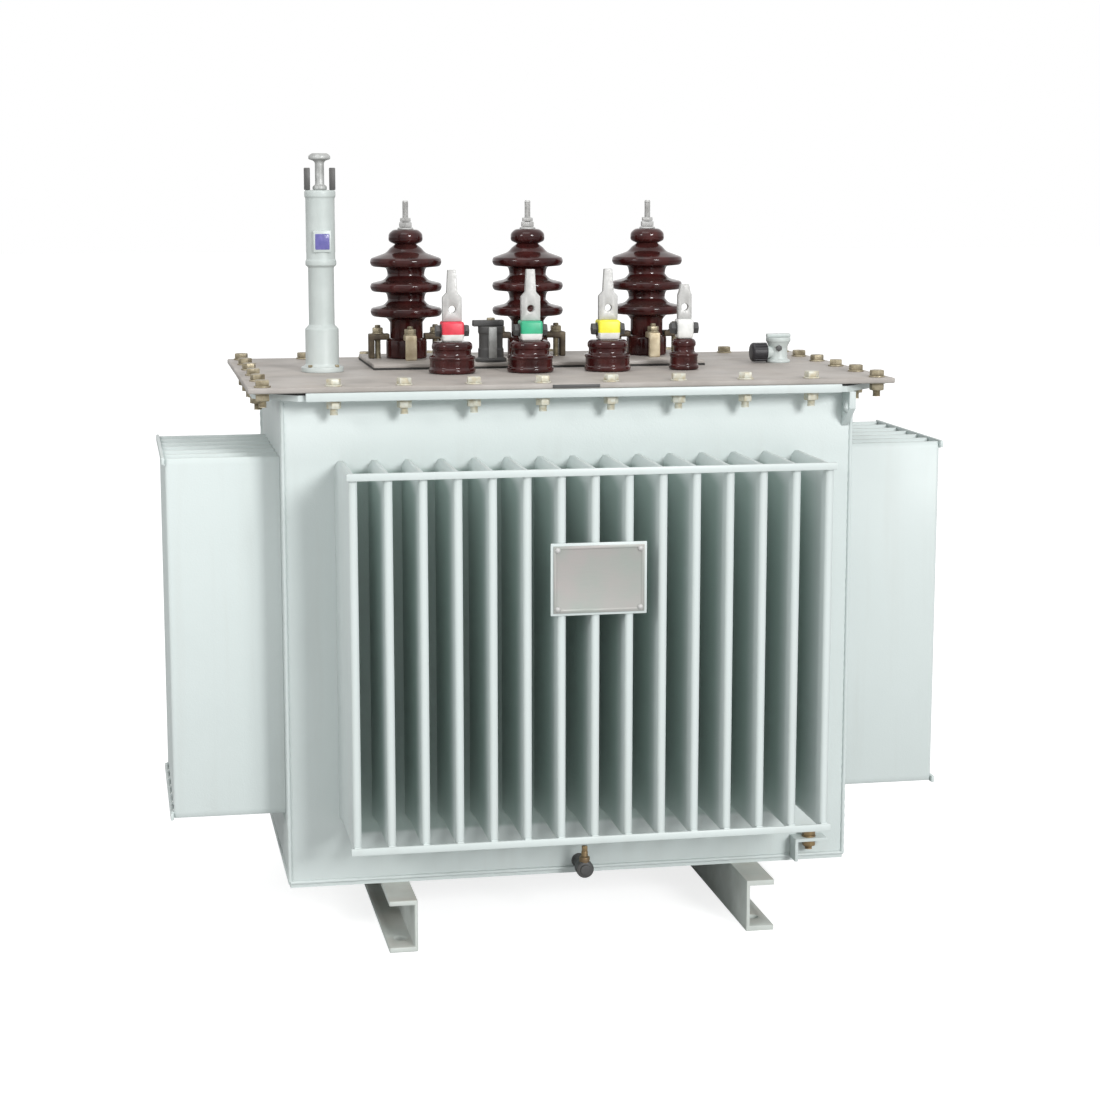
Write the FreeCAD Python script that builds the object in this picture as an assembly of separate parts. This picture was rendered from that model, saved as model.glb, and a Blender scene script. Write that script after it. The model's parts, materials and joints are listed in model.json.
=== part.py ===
"""Oil-filled distribution transformer with a corrugated tank, millimetres, +Z up.

The origin is on the ground at the centre of the base.  +X runs along the long side of the
tank, the low-voltage row and the nameplate are on the -Y side, the high-voltage row is on +Y.
"""
import FreeCAD, Part
import math
import os

V = FreeCAD.Vector
UP = V(0, 0, 1)

# ---- driving dimensions -------------------------------------------------------------------
TANK_LENGTH = 870.0          # outside of the end walls
TANK_WIDTH = 450.0           # outside of the long walls
WALL = 5.0                   # wall plate
FLOOR = 8.0                  # tank bottom plate
WALL_HEIGHT = 734.0          # bottom plate to top flange

FIN_PITCH = 50.0
FIN_DEPTH = 170.0
FIN_THICK = 13.0
FIN_FOOT = 90.0              # bottom plate to the fins' lower ends
FIN_HEIGHT = 552.0
LONG_FINS = 15               # fins on each long wall
END_FINS = 7                 # fins on each end wall
BAR_HIGH = 11.0              # flat bars across the fin edges
BAR_THICK = 5.0
BAR_PROUD = 2.0              # bar past the fins' ends, up and down
BAR_REACH = 3.0              # bar past the outer fins, sideways

FLANGE = 9.0
GASKET = 4.0
LID = 8.0
FLANGE_REACH = 52.0          # flange and lid past the walls
FLANGE_INSET = 10.0          # flange and gasket in from the lid's edge
FLANGE_CORNER = 62.0         # cut across the flange's corners, each way
RIM_BAR_LONG = 808.0         # flat bar under the lid's edge, on each long side
BOLT_EDGE = 22.0             # lid bolt line in from the lid's edge
BOLT_HOLE_R = 6.5
LONG_BOLTS = 10
END_BOLTS = 6

CHANNEL_HIGH = 80.0
CHANNEL_WIDE = 43.0
CHANNEL_WEB = 5.0
CHANNEL_FLANGE = 8.0
CHANNEL_LENGTH = 640.0
GAUGE = 550.0                # fixing holes, centre to centre, both ways
BASE_HOLE_R = 10.0

HV_PITCH = 200.0
HV_X = -5.0                  # middle of the row
HV_Y = 130.0
HV_GASKET = 3.0
HV_PLATE = 6.0
HV_PLATE_MARGIN = 68.0       # past the outer bushings' centres
HV_PLATE_FRONT = 125.0       # row to the plate's front edge
HV_PLATE_BACK = 95.0
HV_FOOT_R = 33.0
HV_FOOT_HIGH = 30.0
HV_BODY_R = 27.5
HV_CORE_R = 31.0
HV_SHED_R = 58.0
HV_SHED_LIP = 11.0           # thickness at a shed's edge
HV_FIRST_SHED = 72.0         # foot to the lowest shed's underside
HV_SHED_PITCH = 40.0
HV_SHEDS = 3
HV_NECK_R = 16.5
HV_CAP_R = 27.5
HV_HEIGHT = 207.0            # porcelain, plate to top
HV_STUD_R = 5.0
HV_STUD_HIGH = 46.0          # stud above the porcelain
CLAW_STUD_CIRCLE = 47.0
CLAW_STUD_R = 5.0
CLAW_STUD_HIGH = 54.0        # above the plate
CLAW_WIDE = 18.0
CLAW_THICK = 10.0
CLAW_REACH = 62.0            # claw's outer end from the bushing's axis
CLAW_HEEL = 8.0

LV_PITCH = 123.0
LV_X = 25.0                  # middle of the row of four
LV_Y = -68.0
LV_R = 36.5
LV_NEUTRAL_R = 23.5
LV_HEIGHT = 49.0
LV_BLOCK_WIDE = 34.0
LV_BLOCK_HIGH = 31.0
LV_NEUTRAL_BLOCK_WIDE = 26.0
LV_PALM_THICK = 10.0
LV_PALM_WIDE = 30.0
LV_PALM_HIGH = 37.0
LV_SHOULDER_HIGH = 7.0
LV_TONGUE_TAPER = 4.0        # narrower at the top by this
LV_TONGUE_WIDE = 17.0
LV_TONGUE_HIGH = 35.0
LV_NEUTRAL_PALM_WIDE = 22.0
LV_NEUTRAL_TONGUE_HIGH = 10.0
LV_HOLE_R = 5.5

FILLER_X = -354.0
FILLER_Y = 0.0
FILLER_FLANGE_R = 33.0
FILLER_FLANGE_HIGH = 8.0
FILLER_SLEEVE_R = 26.0
FILLER_SLEEVE_HIGH = 62.0
FILLER_TUBE_R = 20.0
FILLER_TUBE_HIGH = 95.0
FILLER_HEAD_R = 24.0
FILLER_HEAD_HIGH = 115.0
FILLER_STEM_R = 7.0
FILLER_STEM_HIGH = 45.0
FILLER_KNOB_R = 17.0
FILLER_KNOB_HIGH = 11.0
FILLER_POST_WIDE = 9.0
FILLER_POST_HIGH = 34.0

TAP_X = -82.0
TAP_Y = 34.0
TAP_FLANGE_R = 25.0
TAP_FLANGE_HIGH = 5.0
TAP_BODY_R = 20.5
TAP_BODY_HIGH = 51.0
TAP_HANDLE_LONG = 50.0
TAP_HANDLE_WIDE = 14.0
TAP_HANDLE_HIGH = 10.0

RELIEF_X = 395.0
RELIEF_Y = 40.0
RELIEF_BODY_R = 20.0
RELIEF_BODY_HIGH = 41.0
RELIEF_BAR_LONG = 40.0
RELIEF_BAR_WIDE = 10.0
RELIEF_BAR_HIGH = 6.0
RELIEF_NECK_R = 11.0
RELIEF_CAP_R = 15.5
RELIEF_CAP_LONG = 26.0
RELIEF_CAP_LIFT = 17.0       # lid to the cap's axis

LUG_THICK = 10.0
LUG_REACH = 38.0
LUG_HIGH = 56.0
LUG_HOLE_R = 11.0
LUG_NOSE = 26.0              # straight part of a lug's outer edge
LUG_IN = 5.0                 # lug's outer side in from the end wall's outside

PLATE_WIDE = 134.0
PLATE_HIGH = 98.0
PLATE_THICK = 2.0
PLATE_MID_Z = 571.0
PLATE_X = 4.0
BRACKET_THICK = 3.0
BRACKET_MARGIN = 4.0

DRAIN_X = 10.0
DRAIN_Z = 99.0
DRAIN_PIPE_R = 8.0
DRAIN_PIPE_LONG = 34.0
DRAIN_BODY_R = 13.5
DRAIN_BODY_LONG = 22.0
DRAIN_STEM_R = 5.0
DRAIN_STEM_HIGH = 36.0       # above the pipe's axis

EARTH_X = 375.0
EARTH_TOP = 122.0
EARTH_WIDE = 52.0
EARTH_DEEP = 30.0
EARTH_THICK = 5.0
EARTH_RIB_HIGH = 36.0        # shelf's top to the rib's lower end
EARTH_HOLE_R = 6.5

# ---- levels and faces worked out from them -------------------------------------------------
FLOOR_Z = CHANNEL_HIGH
WALL_Z = FLOOR_Z + FLOOR
FLANGE_Z = WALL_Z + WALL_HEIGHT
GASKET_Z = FLANGE_Z + FLANGE
LID_Z = GASKET_Z + GASKET
TOP_Z = LID_Z + LID
HV_Z = TOP_Z + HV_GASKET + HV_PLATE
FIN_Z = WALL_Z + FIN_FOOT
HALF_L = TANK_LENGTH / 2
HALF_W = TANK_WIDTH / 2
LID_HALF_L = HALF_L + FLANGE_REACH
LID_HALF_W = HALF_W + FLANGE_REACH


# ---- small makers ---------------------------------------------------------------------------
def save(shape, node):
    """Write one node, with its valid solids only."""
    if not shape.isValid() or not shape.Solids:
        raise ValueError("bad shape: " + node)
    shape.exportStep("parts/" + node + ".step")


def block(x0, y0, z0, x1, y1, z1):
    """Box between two corners."""
    return Part.makeBox(x1 - x0, y1 - y0, z1 - z0, V(x0, y0, z0))


def plate(half_x, half_y, z, thick):
    """Flat plate centred on the origin's axis."""
    return block(-half_x, -half_y, z, half_x, half_y, z + thick)


def rod(x, y, z, radius, height):
    """Upright round bar."""
    return Part.makeCylinder(radius, height, V(x, y, z), UP)


def turned(x, y, z, outline):
    """Solid of revolution about an upright axis, from radius and height pairs."""
    points = [V(r, 0, h) for r, h in outline]
    face = Part.Face(Part.makePolygon(points + [points[0]]))
    shape = face.revolve(V(0, 0, 0), UP, 360)
    shape.translate(V(x, y, z))
    return shape


def hexagon(x, y, z, across_flats, height):
    """Upright hexagonal bar."""
    radius = across_flats / math.sqrt(3)
    corners = [V(x + radius * math.cos(math.radians(60 * i)),
                 y + radius * math.sin(math.radians(60 * i)), z) for i in range(7)]
    return Part.Face(Part.makePolygon(corners)).extrude(V(0, 0, height))


def joined(shapes):
    """One solid from pieces that meet, without seams."""
    whole = shapes[0]
    if len(shapes) > 1:
        whole = whole.fuse(shapes[1:])
    return whole.removeSplitter()


def spread(count, pitch):
    """Places of a centred row."""
    return [(i - (count - 1) / 2) * pitch for i in range(count)]


# ---- base -----------------------------------------------------------------------------------
def base_channel(side):
    """Rolled channel across the tank, web inwards, with its lower flange drilled."""
    web_x = side * (GAUGE / 2 - CHANNEL_WIDE / 2)
    half = CHANNEL_LENGTH / 2
    outline = [(0, 0), (CHANNEL_WIDE, 0), (CHANNEL_WIDE, CHANNEL_FLANGE),
               (CHANNEL_WEB, CHANNEL_FLANGE), (CHANNEL_WEB, CHANNEL_HIGH - CHANNEL_FLANGE),
               (CHANNEL_WIDE, CHANNEL_HIGH - CHANNEL_FLANGE), (CHANNEL_WIDE, CHANNEL_HIGH),
               (0, CHANNEL_HIGH)]
    points = [V(web_x + side * x, -half, z) for x, z in outline]
    section = Part.Face(Part.makePolygon(points + [points[0]]))
    shape = section.extrude(V(0, CHANNEL_LENGTH, 0))
    holes = [rod(side * GAUGE / 2, y, -1, BASE_HOLE_R, CHANNEL_FLANGE + 2)
             for y in (-GAUGE / 2, GAUGE / 2)]
    return shape.cut(holes)


# ---- tank -----------------------------------------------------------------------------------
def wall_plate(half_span):
    """Plain wall plate that faces -Y, with its outside at y = 0."""
    return block(-half_span, 0, WALL_Z, half_span, WALL, FLANGE_Z)


def fin(x):
    """Flat cooling fin that stands out along -Y from y = 0, with a round nose."""
    nose_r = FIN_THICK / 2
    nose_y = -(FIN_DEPTH - nose_r)
    web = block(x - nose_r, nose_y, FIN_Z, x + nose_r, 0, FIN_Z + FIN_HEIGHT)
    return joined([web, rod(x, nose_y, FIN_Z, nose_r, FIN_HEIGHT)])


def fin_bars(fins):
    """Two flat bars across the noses of a row of fins that faces -Y."""
    half = (fins - 1) / 2 * FIN_PITCH + FIN_THICK / 2 + BAR_REACH
    low = FIN_Z - BAR_PROUD
    high = FIN_Z + FIN_HEIGHT + BAR_PROUD - BAR_HIGH
    return [block(-half, -FIN_DEPTH - BAR_THICK, z, half, -FIN_DEPTH, z + BAR_HIGH)
            for z in (low, high)]


def placed(shape, turn, distance):
    """Turn something that faces -Y about Z and push it out to its wall."""
    shape = shape.copy()
    shape.translate(V(0, -distance, 0))
    shape.rotate(V(0, 0, 0), UP, turn)
    return shape


def bolt_places():
    """Lid bolt centres, all round."""
    half_x = LID_HALF_L - BOLT_EDGE
    half_y = LID_HALF_W - BOLT_EDGE
    long_pitch = 2 * half_x / (LONG_BOLTS - 1)
    end_pitch = 2 * half_y / (END_BOLTS - 1)
    places = [(x, side * half_y) for side in (-1, 1) for x in spread(LONG_BOLTS, long_pitch)]
    inner = spread(END_BOLTS, end_pitch)[1:-1]
    places += [(side * half_x, y) for side in (-1, 1) for y in inner]
    return places


def drilled(shape, z, thick):
    """Bolt holes through a lid, gasket or flange."""
    return shape.cut([rod(x, y, z - 1, BOLT_HOLE_R, thick + 2) for x, y in bolt_places()])


def flange_ring(z, thick):
    """Rectangular frame on the tank's rim, with its outer corners cut off."""
    outer = plate(LID_HALF_L - FLANGE_INSET, LID_HALF_W - FLANGE_INSET, z, thick)
    upright = [e for e in outer.Edges if abs(e.tangentAt(e.FirstParameter).z) > 0.99]
    outer = outer.makeChamfer(FLANGE_CORNER, upright)
    inner = plate(HALF_L - WALL, HALF_W - WALL, z - 1, thick + 2)
    return drilled(outer.cut(inner), z, thick)


def rim_bar():
    """Flat bar that covers the flange's edge on the -Y side, flush with the lid."""
    return block(-RIM_BAR_LONG / 2, -LID_HALF_W, FLANGE_Z, RIM_BAR_LONG / 2,
                 -LID_HALF_W + FLANGE_INSET, LID_Z)


# ---- high-voltage row -----------------------------------------------------------------------
def hv_rectangle(z, thick):
    """Rectangle under the high-voltage row, for its raised plate and the gasket."""
    half = HV_PITCH + HV_PLATE_MARGIN
    return block(HV_X - half, HV_Y - HV_PLATE_FRONT, z, HV_X + half, HV_Y + HV_PLATE_BACK,
                 z + thick)


def hv_bushing(x):
    """Brown porcelain with three wide sheds and a small cap shed."""
    outline = [(0, 0), (HV_FOOT_R, 0), (HV_FOOT_R, HV_FOOT_HIGH), (HV_BODY_R, HV_FOOT_HIGH),
               (HV_BODY_R, HV_FIRST_SHED - 12)]
    for i in range(HV_SHEDS):
        z = HV_FIRST_SHED + i * HV_SHED_PITCH
        outline += [(HV_CORE_R, z - 6), (HV_SHED_R, z - 2), (HV_SHED_R, z + HV_SHED_LIP - 2)]
        if i < HV_SHEDS - 1:
            outline += [(HV_CORE_R, z + HV_SHED_LIP + 6)]
    crown = HV_FIRST_SHED + (HV_SHEDS - 1) * HV_SHED_PITCH + HV_SHED_LIP
    outline += [(HV_NECK_R + 9, crown + 10), (HV_NECK_R, crown + 17),
                (HV_NECK_R, HV_HEIGHT - 24), (HV_CAP_R, HV_HEIGHT - 20),
                (HV_CAP_R, HV_HEIGHT - 7), (HV_CAP_R - 7, HV_HEIGHT), (0, HV_HEIGHT)]
    return turned(x, HV_Y, HV_Z, outline)


def hv_claws(x):
    """Four studs on the plate, each with a claw that holds the porcelain's foot."""
    claw_z = HV_Z + HV_FOOT_HIGH
    half = CLAW_WIDE / 2
    pieces = []
    for turn in (0, 90, 180, 270):
        stud = rod(CLAW_STUD_CIRCLE, 0, HV_Z, CLAW_STUD_R, CLAW_STUD_HIGH)
        arm = block(HV_BODY_R + 1, -half, claw_z, CLAW_REACH, half, claw_z + CLAW_THICK)
        heel = block(CLAW_REACH - CLAW_HEEL, -half, HV_Z, CLAW_REACH, half, claw_z)
        nut = hexagon(CLAW_STUD_CIRCLE, 0, claw_z + CLAW_THICK, 17, 8)
        claw = joined([stud, arm, heel, nut])
        claw.rotate(V(0, 0, 0), UP, turn)
        claw.translate(V(x, HV_Y, 0))
        pieces.append(claw)
    return Part.makeCompound(pieces)


def hv_terminal(x):
    """Washer, nut and plain stud end on the porcelain."""
    z = HV_Z + HV_HEIGHT
    washer = rod(x, HV_Y, z, 12, 3)
    nut = hexagon(x, HV_Y, z + 3, 19, 12)
    stud = rod(x, HV_Y, z, HV_STUD_R, HV_STUD_HIGH)
    return joined([washer, nut, stud])


# ---- low-voltage row ------------------------------------------------------------------------
def lv_bushing(x, radius):
    """Short brown porcelain drum, wider at its foot."""
    outline = [(0, 0), (radius - 2, 0), (radius, 3), (radius, 22), (radius - 3, 26),
               (radius - 3, 38), (radius - 5, LV_HEIGHT), (0, LV_HEIGHT)]
    return turned(x, LV_Y, TOP_Z, outline)


def lv_block(x, width):
    """Clamp block on the bushing's stud, with a bolt across each side."""
    z = TOP_Z + LV_HEIGHT
    half = width / 2
    body = block(x - half, LV_Y - half, z, x + half, LV_Y + half, z + LV_BLOCK_HIGH)
    upright = [e for e in body.Edges if abs(e.tangentAt(e.FirstParameter).z) > 0.99]
    return body.makeFillet(4, upright)


def lv_terminal(x, width, tongue_high):
    """Tinned terminal bar, drilled, that narrows at a shoulder to a tapered tongue."""
    z = TOP_Z + LV_HEIGHT + LV_BLOCK_HIGH
    shoulder = z + LV_PALM_HIGH + LV_SHOULDER_HIGH
    side = [(width / 2, z), (width / 2, z + LV_PALM_HIGH), (LV_TONGUE_WIDE / 2, shoulder),
            ((LV_TONGUE_WIDE - LV_TONGUE_TAPER) / 2, shoulder + tongue_high)]
    outline = side + [(-half, level) for half, level in reversed(side)]
    half_t = LV_PALM_THICK / 2
    points = [V(x + across, LV_Y - half_t, level) for across, level in outline]
    bar = Part.Face(Part.makePolygon(points + [points[0]])).extrude(V(0, LV_PALM_THICK, 0))
    hole = Part.makeCylinder(LV_HOLE_R, LV_PALM_THICK + 2,
                             V(x, LV_Y - half_t - 1, z + LV_PALM_HIGH / 2), V(0, 1, 0))
    return bar.cut(hole)


# ---- lid fittings ---------------------------------------------------------------------------
def filler_pipe():
    """Oil filler and level pipe: foot flange, sleeve, tube and wider head."""
    z = TOP_Z
    steps = [(FILLER_FLANGE_R, FILLER_FLANGE_HIGH), (FILLER_SLEEVE_R, FILLER_SLEEVE_HIGH),
             (FILLER_TUBE_R, FILLER_TUBE_HIGH), (FILLER_HEAD_R, FILLER_HEAD_HIGH)]
    outline = [(0, 0)]
    level = 0.0
    for radius, height in steps:
        outline += [(radius, level), (radius, level + height)]
        level += height
    outline.append((0, level))
    return turned(FILLER_X, FILLER_Y, z, outline)


def filler_top():
    """Level where the pipe's head ends."""
    return TOP_Z + FILLER_FLANGE_HIGH + FILLER_SLEEVE_HIGH + FILLER_TUBE_HIGH + FILLER_HEAD_HIGH


def filler_cap():
    """Stem with a round knob."""
    z = filler_top()
    stem = rod(FILLER_X, FILLER_Y, z, FILLER_STEM_R, FILLER_STEM_HIGH)
    knob = rod(FILLER_X, FILLER_Y, z + FILLER_STEM_HIGH, FILLER_KNOB_R, FILLER_KNOB_HIGH)
    return joined([stem, knob])


def filler_posts():
    """Two posts beside the stem."""
    z = filler_top()
    half = FILLER_POST_WIDE / 2
    reach = FILLER_HEAD_R - half
    return [block(FILLER_X + side * reach - half, FILLER_Y - half, z,
                  FILLER_X + side * reach + half, FILLER_Y + half, z + FILLER_POST_HIGH)
            for side in (-1, 1)]


def tap_changer():
    """Off-load tap switch: flange, round housing and a turning bar on top."""
    flange = rod(TAP_X, TAP_Y, HV_Z, TAP_FLANGE_R, TAP_FLANGE_HIGH)
    body = rod(TAP_X, TAP_Y, HV_Z, TAP_BODY_R, TAP_FLANGE_HIGH + TAP_BODY_HIGH)
    z = HV_Z + TAP_FLANGE_HIGH + TAP_BODY_HIGH
    left = TAP_X + TAP_BODY_R - TAP_HANDLE_LONG
    bar = block(left, TAP_Y - TAP_HANDLE_WIDE / 2, z, TAP_X + TAP_BODY_R,
                TAP_Y + TAP_HANDLE_WIDE / 2, z + TAP_HANDLE_HIGH)
    return joined([flange, body, bar])


def relief_valve():
    """Upright valve body with a flat bar across its top and a neck towards -X."""
    body = rod(RELIEF_X, RELIEF_Y, TOP_Z, RELIEF_BODY_R, RELIEF_BODY_HIGH)
    z = TOP_Z + RELIEF_BODY_HIGH
    bar = block(RELIEF_X - RELIEF_BAR_LONG / 2, RELIEF_Y - RELIEF_BAR_WIDE / 2, z,
                RELIEF_X + RELIEF_BAR_LONG / 2, RELIEF_Y + RELIEF_BAR_WIDE / 2,
                z + RELIEF_BAR_HIGH)
    neck = Part.makeCylinder(RELIEF_NECK_R, RELIEF_BODY_R,
                             V(RELIEF_X, RELIEF_Y, TOP_Z + RELIEF_CAP_LIFT), V(-1, 0, 0))
    return joined([body, bar, neck])


def relief_cap():
    """Round cap on the valve's neck."""
    return Part.makeCylinder(RELIEF_CAP_R, RELIEF_CAP_LONG,
                             V(RELIEF_X - RELIEF_BODY_R, RELIEF_Y, TOP_Z + RELIEF_CAP_LIFT),
                             V(-1, 0, 0))


# ---- tank fittings --------------------------------------------------------------------------
def lifting_lug():
    """Drilled plate at the +X end of the -Y wall, under the flange."""
    x = HALF_L - LUG_IN - LUG_THICK
    low = FLANGE_Z - LUG_HIGH
    outline = [(0, low), (LUG_REACH, FLANGE_Z - LUG_NOSE), (LUG_REACH, FLANGE_Z), (0, FLANGE_Z)]
    points = [V(x, -HALF_W - out, z) for out, z in outline]
    lug = Part.Face(Part.makePolygon(points + [points[0]])).extrude(V(LUG_THICK, 0, 0))
    start = V(x - 1, -HALF_W - LUG_REACH / 2, FLANGE_Z - LUG_NOSE + 2)
    return lug.cut(Part.makeCylinder(LUG_HOLE_R, LUG_THICK + 2, start, V(1, 0, 0)))


def nameplate_bracket():
    """Flat plate that carries the nameplate, on the noses of the middle fins."""
    face = -HALF_W - FIN_DEPTH
    return block(PLATE_X - PLATE_WIDE / 2 - BRACKET_MARGIN, face - BRACKET_THICK,
                 PLATE_MID_Z - PLATE_HIGH / 2 - BRACKET_MARGIN,
                 PLATE_X + PLATE_WIDE / 2 + BRACKET_MARGIN, face,
                 PLATE_MID_Z + PLATE_HIGH / 2 + BRACKET_MARGIN)


def nameplate():
    """Plain metal plate on its bracket."""
    face = -HALF_W - FIN_DEPTH - BRACKET_THICK
    return block(PLATE_X - PLATE_WIDE / 2, face - PLATE_THICK, PLATE_MID_Z - PLATE_HIGH / 2,
                 PLATE_X + PLATE_WIDE / 2, face, PLATE_MID_Z + PLATE_HIGH / 2)


def drain_valve():
    """Short pipe and stop valve low on the front wall, with its stem upright."""
    out = V(0, -1, 0)
    pipe = Part.makeCylinder(DRAIN_PIPE_R, DRAIN_PIPE_LONG, V(DRAIN_X, -HALF_W, DRAIN_Z), out)
    body = Part.makeCylinder(DRAIN_BODY_R, DRAIN_BODY_LONG,
                             V(DRAIN_X, -HALF_W - DRAIN_PIPE_LONG, DRAIN_Z), out)
    stem = rod(DRAIN_X, -HALF_W - DRAIN_PIPE_LONG - DRAIN_BODY_LONG / 2, DRAIN_Z,
               DRAIN_STEM_R, DRAIN_STEM_HIGH)
    return joined([pipe, body, stem])


def earth_terminal():
    """Welded shelf, drilled for the earth lead's bolt, with a rib under its -X end."""
    left = EARTH_X - EARTH_WIDE / 2
    face = -HALF_W - EARTH_DEEP
    low = EARTH_TOP - EARTH_THICK
    shelf = block(left, face, low, left + EARTH_WIDE, -HALF_W, EARTH_TOP)
    rib = block(left, face, EARTH_TOP - EARTH_RIB_HIGH, left + EARTH_THICK, -HALF_W, low)
    hole = rod(EARTH_X, -HALF_W - EARTH_DEEP / 2, low - 1, EARTH_HOLE_R, EARTH_THICK + 2)
    return joined([shelf, rib]).cut(hole)


# ---- the assembly ---------------------------------------------------------------------------
os.makedirs("parts", exist_ok=True)

save(base_channel(-1), "base_channel_left")
save(base_channel(1), "base_channel_right")
save(plate(HALF_L, HALF_W, FLOOR_Z, FLOOR), "tank_floor")

bars = []
for turn, name, fins, half_span, distance in (
        (0, "front", LONG_FINS, HALF_L, HALF_W), (90, "right", END_FINS, HALF_W - WALL, HALF_L),
        (180, "back", LONG_FINS, HALF_L, HALF_W), (270, "left", END_FINS, HALF_W - WALL, HALF_L)):
    save(placed(wall_plate(half_span), turn, distance), name + "_wall")
    row = [placed(fin(x), turn, distance) for x in spread(fins, FIN_PITCH)]
    save(Part.makeCompound(row), name + "_fins")
    bars += [placed(bar, turn, distance) for bar in fin_bars(fins)]
save(Part.makeCompound(bars), "fin_bars")

save(flange_ring(FLANGE_Z, FLANGE), "tank_flange")
save(flange_ring(GASKET_Z, GASKET), "lid_gasket")
save(Part.makeCompound([placed(rim_bar(), turn, 0) for turn in (0, 180)]), "rim_bars")
save(drilled(plate(LID_HALF_L, LID_HALF_W, LID_Z, LID), LID_Z, LID), "lid")
save(Part.makeCompound([placed(lifting_lug(), turn, 0) for turn in (0, 180)]), "lifting_lugs")

save(hv_rectangle(TOP_Z, HV_GASKET), "hv_gasket")
save(hv_rectangle(TOP_Z + HV_GASKET, HV_PLATE), "hv_plate")
for name, x in zip("abc", spread(3, HV_PITCH)):
    save(hv_claws(HV_X + x), "hv_claws_" + name)
    save(hv_bushing(HV_X + x), "hv_bushing_" + name)
hv_terminals = [hv_terminal(HV_X + x) for x in spread(3, HV_PITCH)]
save(Part.makeCompound(hv_terminals), "hv_terminals")

terminals = []
for name, x in zip("abcn", spread(4, LV_PITCH)):
    neutral = name == "n"
    radius = LV_NEUTRAL_R if neutral else LV_R
    block_wide = LV_NEUTRAL_BLOCK_WIDE if neutral else LV_BLOCK_WIDE
    palm_wide = LV_NEUTRAL_PALM_WIDE if neutral else LV_PALM_WIDE
    tongue = LV_NEUTRAL_TONGUE_HIGH if neutral else LV_TONGUE_HIGH
    save(lv_bushing(LV_X + x, radius), "lv_bushing_" + name)
    save(lv_block(LV_X + x, block_wide), "lv_block_" + name)
    terminals.append(lv_terminal(LV_X + x, palm_wide, tongue))
save(Part.makeCompound(terminals), "lv_terminals")

save(filler_pipe(), "filler_pipe")
save(filler_cap(), "filler_cap")
save(Part.makeCompound(filler_posts()), "filler_posts")
save(tap_changer(), "tap_changer")
save(relief_valve(), "relief_valve")
save(relief_cap(), "relief_cap")
save(nameplate_bracket(), "nameplate_bracket")
save(nameplate(), "nameplate")
save(drain_valve(), "drain_valve")
save(earth_terminal(), "earth_terminal")
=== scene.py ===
"""Looks of an oil-filled distribution transformer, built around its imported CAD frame."""
import bmesh
import bpy
import json
import math
from mathutils import Matrix, Vector

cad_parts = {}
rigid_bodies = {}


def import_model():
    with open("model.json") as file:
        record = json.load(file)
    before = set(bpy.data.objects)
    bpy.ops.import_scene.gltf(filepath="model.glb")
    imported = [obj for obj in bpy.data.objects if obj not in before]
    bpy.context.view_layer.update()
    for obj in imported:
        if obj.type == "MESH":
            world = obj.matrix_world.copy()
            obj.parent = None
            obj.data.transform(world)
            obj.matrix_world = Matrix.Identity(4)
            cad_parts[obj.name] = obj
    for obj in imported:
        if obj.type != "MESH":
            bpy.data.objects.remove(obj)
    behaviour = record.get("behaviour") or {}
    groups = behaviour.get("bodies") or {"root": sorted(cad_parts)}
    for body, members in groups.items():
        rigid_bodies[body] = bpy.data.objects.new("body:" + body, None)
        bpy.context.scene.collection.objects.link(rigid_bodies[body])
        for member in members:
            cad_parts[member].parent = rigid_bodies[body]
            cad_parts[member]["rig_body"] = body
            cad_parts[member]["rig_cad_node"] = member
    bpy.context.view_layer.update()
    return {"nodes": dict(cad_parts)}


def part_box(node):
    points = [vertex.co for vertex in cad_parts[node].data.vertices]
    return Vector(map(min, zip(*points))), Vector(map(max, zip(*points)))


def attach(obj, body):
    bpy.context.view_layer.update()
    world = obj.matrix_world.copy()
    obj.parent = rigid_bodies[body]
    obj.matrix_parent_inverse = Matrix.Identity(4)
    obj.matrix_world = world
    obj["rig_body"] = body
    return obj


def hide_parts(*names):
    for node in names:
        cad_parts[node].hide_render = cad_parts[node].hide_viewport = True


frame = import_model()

nodes = frame["nodes"]

# ---- studio --------------------------------------------------------
# A pale floor that runs out of sight, a large soft key light from the right and white air all
# round.  The camera stands a little left of the front, at about the height of the lid.
def node(tree, kind, sockets, **settings):
    """Add a shader node with its settings and the values or links of its sockets."""
    made = tree.nodes.new(kind)
    for label, value in settings.items():
        setattr(made, label, value)
    for label, value in sockets.items():
        if isinstance(value, bpy.types.NodeSocket):
            tree.links.new(value, made.inputs[label])
        else:
            made.inputs[label].default_value = value
    return made


def ramp(tree, value, low, high, to_low=0.0, to_high=1.0, **settings):
    """Value stretched from one range to another and held at its ends."""
    return node(tree, "ShaderNodeMapRange", {"Value": value, "From Min": low, "From Max": high,
                                             "To Min": to_low, "To Max": to_high},
                **settings).outputs["Result"]


def maths(tree, operation, first, second):
    """One arithmetic step on two values."""
    return node(tree, "ShaderNodeMath", {0: first, 1: second}, operation=operation).outputs[0]


bpy.ops.object.select_all(action="DESELECT")
bpy.ops.mesh.primitive_plane_add(size=60.0, location=(0, 0, 0))
floor = bpy.context.active_object
floor.name = "studio_floor"
floor_paper = bpy.data.materials.new("floor_paper")
floor_paper.use_nodes = True
paper_tree = floor_paper.node_tree
paper = paper_tree.nodes["Principled BSDF"]
paper.inputs["Base Color"].default_value = (0.55, 0.55, 0.55, 1)
paper.inputs["Roughness"].default_value = 0.9
paper.inputs["Emission Color"].default_value = (1, 1, 1, 1)
paper_seen = node(paper_tree, "ShaderNodeLightPath", {}).outputs["Is Camera Ray"]
paper_glow = maths(paper_tree, "MULTIPLY", paper_seen, 0.78)
paper_tree.links.new(paper_glow, paper.inputs["Emission Strength"])
floor.data.materials.append(floor_paper)

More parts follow.
